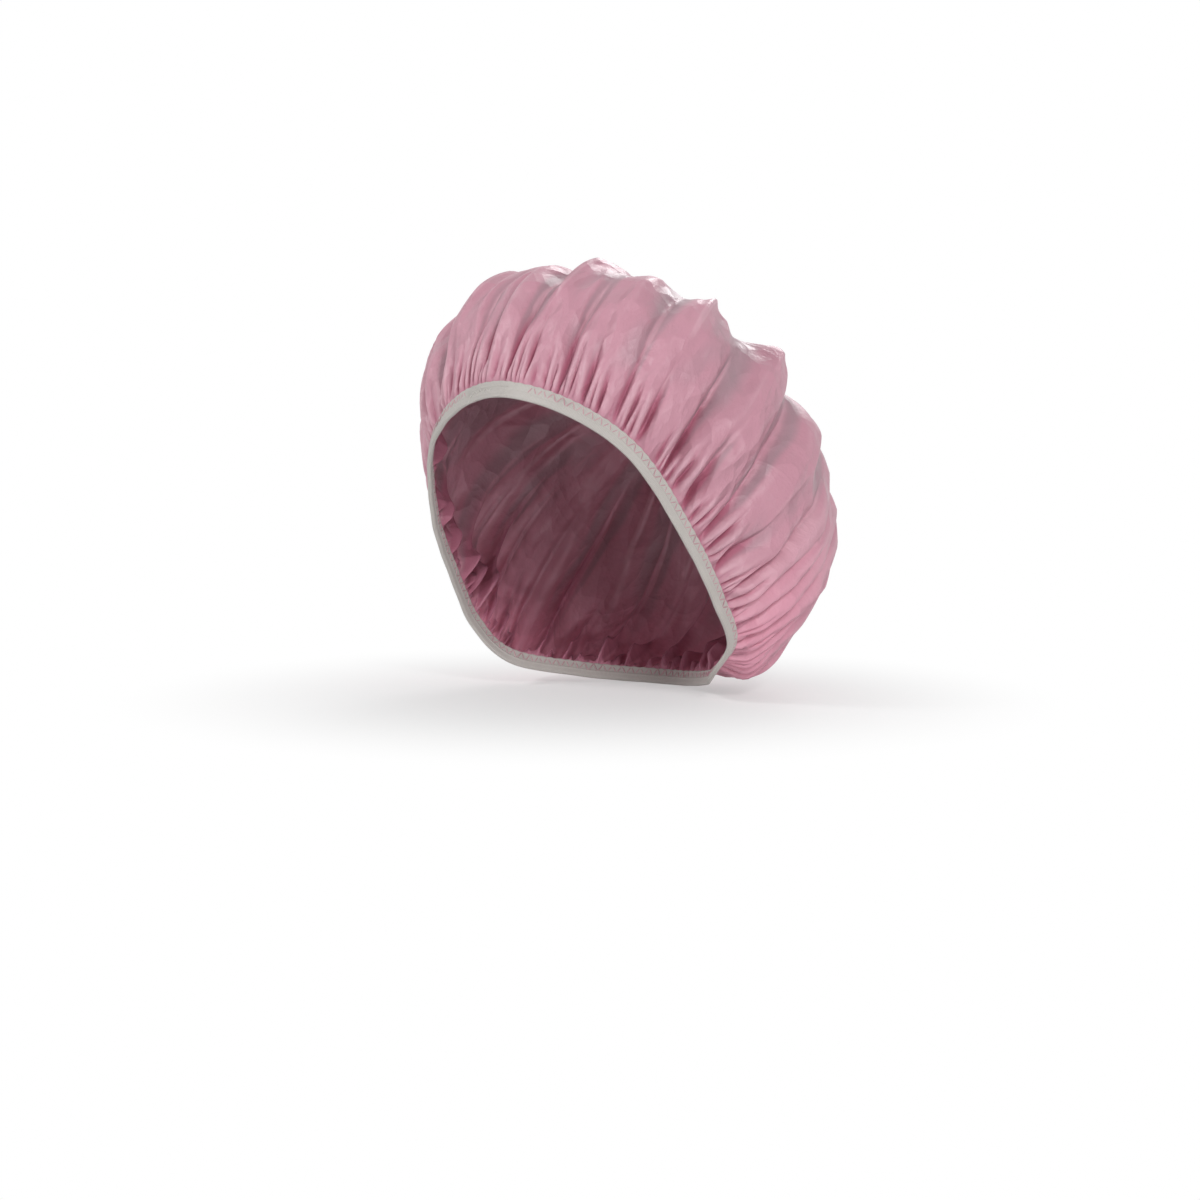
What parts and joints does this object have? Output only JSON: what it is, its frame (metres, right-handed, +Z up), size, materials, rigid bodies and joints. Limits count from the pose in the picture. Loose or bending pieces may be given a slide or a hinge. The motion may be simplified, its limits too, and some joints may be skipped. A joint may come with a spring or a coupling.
{
  "type": "shower cap",
  "caption": "Puffed shower cap of thin pink film, gathered all round its edge into a folded elastic band that holds it on the head.",
  "frame": {"origin": "middle of the head opening, halfway from the elastic at the hairline to the elastic at the nape", "axes": "as worn on an upright head: +Z up, the wearer looks along -Y, the wearer's left is +X"},
  "size_m": [0.2139, 0.2179, 0.2197],
  "materials": {
    "film": "satin pink vinyl film, creased",
    "elastic": "off-white knitted fold-over elastic",
    "seam_thread": "dull dusty pink thread",
    "splice_thread": "dull off-white thread"
  },
  "bodies": {
    "root": {"crown_film": "film", "elastic_band": "elastic", "needle_thread": "seam_thread", "bobbin_thread": "seam_thread", "splice_thread": "splice_thread"}
  },
  "joints": []
}
